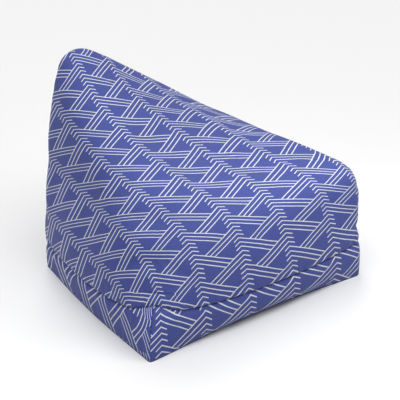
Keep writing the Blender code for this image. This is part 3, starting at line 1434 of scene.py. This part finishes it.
@dataclass(frozen=True)
class ChevronPrint:
    """The print's drawing: columns of nested chevrons, three with a long right arm, then three with a
    long left arm, each ending on its neighbour like laid strips. Columns are 1 wide, rows 1 high."""

    name: str = "chevron_print"
    rows_in_repeat: float = 6.0
    arm_fall: float = 5.2
    short_arm: float = 0.125
    line_width: float = 0.215
    softness: float = 0.04
    end_sharpness: float = 120.0

    def group(self) -> bpy.types.NodeTree:
        """The node group, which puts out a mask of the lines.

        Returns:
            The group's tree.
        """
        inputs = {"Cloth": ("NodeSocketVector", None), "Waver": ("NodeSocketFloat", 0.0)}
        bench = Bench(new_group(self.name, inputs, {"Line": "NodeSocketFloat"}))
        apart = bench.node("ShaderNodeSeparateXYZ", {0: bench.given["Cloth"]}).outputs
        across = bench.math("FRACT", apart["X"])
        row = bench.math("ADD", apart["Y"], bench.given["Waver"])
        right = self.family(bench, across, row, leading=True)
        left = self.family(bench, bench.math("SUBTRACT", 1.0, across), row, leading=False)
        bench.put_out(Line=bench.math("MAXIMUM", right, left))
        return bench.tree

    def family(
        self, bench: Bench, away: bpy.types.NodeSocket, row: bpy.types.NodeSocket, leading: bool
    ) -> bpy.types.NodeSocket:
        """The arms that fall away from one side of each column.

        Args:
            bench: where the nodes go.
            away: share of a column's width from the arms' tips.
            row: the row number.
            leading: True for the arms that are long in the first half of the repeat.
        Returns:
            The mask of these arms.
        """
        half = self.rows_in_repeat / 2
        fallen = bench.math("SUBTRACT", row, bench.math("MULTIPLY", away, self.arm_fall))
        wrapped = bench.math("FLOORED_MODULO", bench.math("ADD", fallen, 0.5), self.rows_in_repeat)
        whole = bench.math("FLOOR", wrapped)
        tip = bench.math("SUBTRACT", wrapped, 0.5)
        off = bench.math("ABSOLUTE", bench.math("SUBTRACT", tip, whole))
        first_half = bench.math("LESS_THAN", whole, half - 0.5)
        is_long = first_half if leading else bench.math("SUBTRACT", 1.0, first_half)
        end_row = (half if leading else self.rows_in_repeat) + self.arm_fall
        reach = bench.math("DIVIDE", bench.math("SUBTRACT", end_row, tip), 2 * self.arm_fall)
        spare = bench.math("SUBTRACT", reach, self.short_arm)
        limit = bench.math("MULTIPLY_ADD", spare, is_long, self.short_arm)
        left = bench.math("SUBTRACT", limit, away)
        within = bench.math("MULTIPLY_ADD", left, self.end_sharpness, 0.5, clamp=True)
        edge = bench.node(
            "ShaderNodeMapRange",
            {
                "Value": off,
                "From Min": self.line_width / 2 - self.softness,
                "From Max": self.line_width / 2 + self.softness,
                "To Min": 1.0,
                "To Max": 0.0,
            },
            interpolation_type="SMOOTHSTEP",
        ).outputs["Result"]
        return bench.math("MULTIPLY", edge, within)


@dataclass(frozen=True)
class CanvasWeave:
    """A plain weave: threads over and under, with slubs."""

    name: str = "canvas_weave"
    threads_per_metre: float = 900.0
    grain_per_metre: float = 260.0
    slubs_per_metre: tuple[float, float] = (90.0, 700.0)
    noise_detail: float = 2.0

    def group(self) -> bpy.types.NodeTree:
        """The node group, which puts out the weave's height and the threads' uneven tone.

        Returns:
            The group's tree.
        """
        outputs = {"Height": "NodeSocketFloat", "Tone": "NodeSocketFloat"}
        bench = Bench(new_group(self.name, {"Metres": ("NodeSocketVector", None)}, outputs))
        metres = bench.given["Metres"]
        apart = bench.node("ShaderNodeSeparateXYZ", {0: metres}).outputs
        turn = math.pi * self.threads_per_metre
        threads = (bench.math("MULTIPLY", apart[axis], turn) for axis in "XY")
        warp, weft = (bench.math("SINE", thread) for thread in threads)
        tones = []
        for stretch in (self.slubs_per_metre, self.slubs_per_metre[::-1]):
            scaled = {0: metres, 1: (*stretch, 1.0)}
            scaled = bench.node("ShaderNodeVectorMath", scaled, operation="MULTIPLY").outputs[0]
            tones.append(self.noise(bench, scaled, 1.0))
        tones.append(self.noise(bench, metres, self.grain_per_metre))
        summed = bench.math("ADD", bench.math("ADD", *tones[:2]), tones[2])
        bench.put_out(
            Height=bench.math("MULTIPLY_ADD", bench.math("MULTIPLY", warp, weft), 0.5, 0.5),
            Tone=bench.math("MULTIPLY", summed, 1 / len(tones)),
        )
        return bench.tree

    def noise(self, bench: Bench, place: bpy.types.NodeSocket, scale: float) -> bpy.types.NodeSocket:
        """Soft noise from 0 to 1 at a place."""
        inputs = {"Vector": place, "Scale": scale, "Detail": self.noise_detail}
        return bench.node("ShaderNodeTexNoise", inputs).outputs["Fac"]


@dataclass(frozen=True)
class Threads:
    """What woven threads do to a matt cloth."""

    tone_share: float
    roughness: float
    tone_from: float = 0.35
    tone_to: float = 0.65
    bump_strength: float = 0.25
    bump_distance: float = 0.0004

    def weave_in(
        self,
        bench: Bench,
        weave: bpy.types.NodeTree,
        metres: bpy.types.NodeSocket,
        colour: bpy.types.NodeSocket | tuple[float, float, float],
    ) -> None:
        """Give the shader the cloth's colour, shaded by its threads, their relief and its roughness.

        Args:
            bench: the material's bench.
            weave: the weave's node group.
            metres: the place on the cloth, in metres.
            colour: the cloth's colour before it is shaded.
        """
        threads = bench.node("ShaderNodeGroup", {"Metres": metres}, node_tree=weave).outputs
        tones = {"Value": threads["Tone"], "From Min": self.tone_from, "From Max": self.tone_to}
        shades = {"To Min": 1 - self.tone_share, "To Max": 1 + self.tone_share}
        shade = bench.node("ShaderNodeMapRange", tones | shades).outputs["Result"]
        scaled = {0: colour, "Scale": shade}
        shaded = bench.node("ShaderNodeVectorMath", scaled, operation="SCALE").outputs[0]
        relief = {"Strength": self.bump_strength, "Distance": self.bump_distance}
        bump = bench.node("ShaderNodeBump", relief | {"Height": threads["Height"]})
        bench.join(bench.shader, Base_Color=shaded, Normal=bump.outputs["Normal"])
        bench.shader.inputs["Roughness"].default_value = self.roughness


@dataclass(frozen=True)
class PrintedCanvas:
    """Matt cotton canvas with a printed line pattern."""

    name: str
    column_width: float
    row_height: float
    ground: tuple[float, float, float] = (0.058, 0.075, 0.257)
    line: tuple[float, float, float] = (0.58, 0.60, 0.63)
    threads: Threads = Threads(tone_share=0.22, roughness=0.88)
    waver: float = 0.05
    wavers_per_metre: float = 45.0
    waver_detail: float = 1.0
    sheen: float = 0.16
    sheen_roughness: float = 0.35
    specular: float = 0.12

    def material(self, drawing: bpy.types.NodeTree, weave: bpy.types.NodeTree) -> bpy.types.Material:
        """The material.

        Args:
            drawing: the print's node group.
            weave: the weave's node group.
        Returns:
            The material.
        """
        made, bench = new_material(self.name)
        cloth = bench.node("ShaderNodeUVMap", uv_map=CLOTH_MAP).outputs["UV"]
        scale = (self.column_width, self.row_height, 1.0)
        metres = bench.node("ShaderNodeVectorMath", {0: cloth, 1: scale}, operation="MULTIPLY")
        metres = metres.outputs[0]
        wander = {"Vector": metres, "Scale": self.wavers_per_metre, "Detail": self.waver_detail}
        wander = bench.node("ShaderNodeTexNoise", wander).outputs["Fac"]
        wander = bench.math("MULTIPLY_ADD", wander, self.waver, -self.waver / 2)
        printed = bench.node("ShaderNodeGroup", {"Cloth": cloth, "Waver": wander}, node_tree=drawing)
        colours = {"Factor": printed.outputs["Line"], "A": (*self.ground, 1.0), "B": (*self.line, 1.0)}
        mixed = bench.node("ShaderNodeMix", colours, data_type="RGBA")
        self.threads.weave_in(bench, weave, metres, mixed.outputs["Result"])
        bench.shader.inputs["Sheen Weight"].default_value = self.sheen
        bench.shader.inputs["Sheen Roughness"].default_value = self.sheen_roughness
        bench.shader.inputs["Specular IOR Level"].default_value = self.specular
        return made


@dataclass(frozen=True)
class PlainCanvas:
    """Matt plain canvas for the base."""

    name: str = "base_canvas"
    colour: tuple[float, float, float] = (0.045, 0.055, 0.190)
    threads: Threads = Threads(tone_share=0.2, roughness=0.9)

    def material(self, weave: bpy.types.NodeTree) -> bpy.types.Material:
        """The material.

        Args:
            weave: the weave's node group.
        Returns:
            The material.
        """
        made, bench = new_material(self.name)
        metres = bench.node("ShaderNodeUVMap", uv_map=CLOTH_MAP).outputs["UV"]
        self.threads.weave_in(bench, weave, metres, self.colour)
        return made


class Sky(NamedTuple):
    """A wide soft light from far off: the way it comes from, in degrees round from +X and up from the
    floor, its strength and how many degrees wide it is."""

    name: str
    around: float
    up: float
    strength: float
    width: float


class Lamp(NamedTuple):
    """A soft box light: where it stands, its size and its power."""

    name: str
    x: float
    y: float
    z: float
    size: float
    watts: float


@dataclass(frozen=True)
class Studio:
    """A pale floor, soft light and the camera."""

    view: PictureView
    floor_size: float = 160.0
    floor_colour: tuple[float, float, float] = (0.72, 0.72, 0.72)
    floor_roughness: float = 0.9
    sky_colour: tuple[float, float, float] = (1.0, 1.0, 1.0)
    sky_strength: float = 0.12
    skies: tuple[Sky, ...] = (
        Sky("left", around=180.0, up=60.0, strength=1.45, width=40.0),
        Sky("front", around=270.0, up=62.0, strength=1.45, width=40.0),
        Sky("behind", around=75.0, up=55.0, strength=1.30, width=40.0),
    )
    lamps: tuple[Lamp, ...] = (Lamp("above_the_seat", x=0.3, y=-0.9, z=1.4, size=0.6, watts=9.0),)
    lamps_aim: tuple[float, float, float] = (0.0, 0.0, 0.3)

    def build(self) -> None:
        """Set the stage, the lights and the camera."""
        self.floor()
        self.light()
        self.camera()

    def floor(self) -> None:
        """A wide pale floor under the bag."""
        mesh = bmesh.new()
        bmesh.ops.create_grid(mesh, x_segments=1, y_segments=1, size=self.floor_size / 2)
        piece = as_piece(mesh, "floor")
        material, bench = new_material("floor_paper")
        bench.shader.inputs["Base Color"].default_value = (*self.floor_colour, 1.0)
        bench.shader.inputs["Roughness"].default_value = self.floor_roughness
        piece.data.materials.append(material)

    def light(self) -> None:
        """White surroundings and the soft boxes, each turned to the bag."""
        scene = bpy.context.scene
        world = scene.world or bpy.data.worlds.new("studio")
        scene.world = world
        world.use_nodes = True
        sky = world.node_tree.nodes["Background"]
        sky.inputs["Color"].default_value = (*self.sky_colour, 1.0)
        sky.inputs["Strength"].default_value = self.sky_strength
        scene.view_settings.view_transform = "Standard"
        for soft in self.skies:
            data = bpy.data.lights.new(soft.name, "SUN")
            data.energy = soft.strength
            data.angle = math.radians(soft.width)
            turn = (0.0, math.radians(90.0 - soft.up), math.radians(soft.around))
            in_scene(soft.name, data).rotation_euler = turn
        for lamp in self.lamps:
            data = bpy.data.lights.new(lamp.name, "AREA")
            data.energy = lamp.watts
            data.size = lamp.size
            box = in_scene(lamp.name, data)
            box.location = (lamp.x, lamp.y, lamp.z)
            aim = Vector(self.lamps_aim) - box.location
            box.rotation_euler = aim.to_track_quat("-Z", "Y").to_euler()

    def camera(self) -> None:
        """The camera at the picture's place."""
        data = bpy.data.cameras.new("camera")
        data.lens = self.view.lens
        data.sensor_width = self.view.sensor
        camera = in_scene("camera", data)
        camera.location = self.view.eye
        camera.rotation_euler = Vector(self.view.looking).to_track_quat("-Z", "Y").to_euler()
        bpy.context.scene.camera = camera


def main() -> None:
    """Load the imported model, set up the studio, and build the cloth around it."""
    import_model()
    view = PictureView()
    Studio(view).build()
    form = BagForm()
    relief = SoftRelief(form)
    layout = PrintLayout(form, view)
    drawing = ChevronPrint().group()
    weave = CanvasWeave().group()
    canvas = PrintedCanvas("printed_canvas", layout.column_width, layout.row_height)
    printed = canvas.material(drawing, weave)
    panel = TopPanel(form, relief, layout, Settling())
    strips = [BandStrip(form, relief, view, side) for side in SideName]
    printed_pieces = [(maker, printed) for maker in (panel, *strips)]
    for maker, material in (*printed_pieces, (BasePanel(form), PlainCanvas().material(weave))):
        piece = maker.build()
        maker.dress(piece, material)
        log.info("%s: %d faces", piece.name, len(piece.data.polygons))


if __name__ == "__main__":
    logging.basicConfig(level=logging.INFO)
    main()
